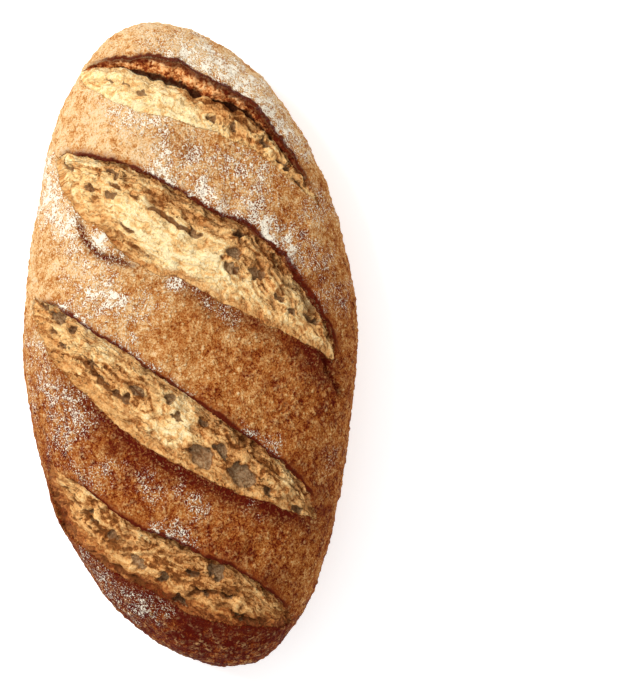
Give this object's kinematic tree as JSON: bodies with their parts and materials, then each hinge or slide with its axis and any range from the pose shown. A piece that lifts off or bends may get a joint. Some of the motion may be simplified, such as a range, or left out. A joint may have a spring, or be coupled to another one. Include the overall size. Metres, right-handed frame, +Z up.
{
  "type": "sourdough loaf",
  "caption": "Long oval hearth-baked bread loaf with a domed scored crust, lifted ears along the scores and a flat base to rest on.",
  "frame": {"origin": "centre of the loaf's bounding box in plan, at the height of its flat base", "axes": "+X along the loaf from its paler floury end to its darker baked end, +Y across it towards the side where the scores fade out, +Z up"},
  "size_m": [0.32, 0.1654, 0.0853],
  "materials": {
    "crust": "matt golden to red-brown blistered crust, dusted with white flour, with pale cream torn crumb in the scores"
  },
  "bodies": {
    "root": {"loaf": "crust"}
  },
  "joints": []
}
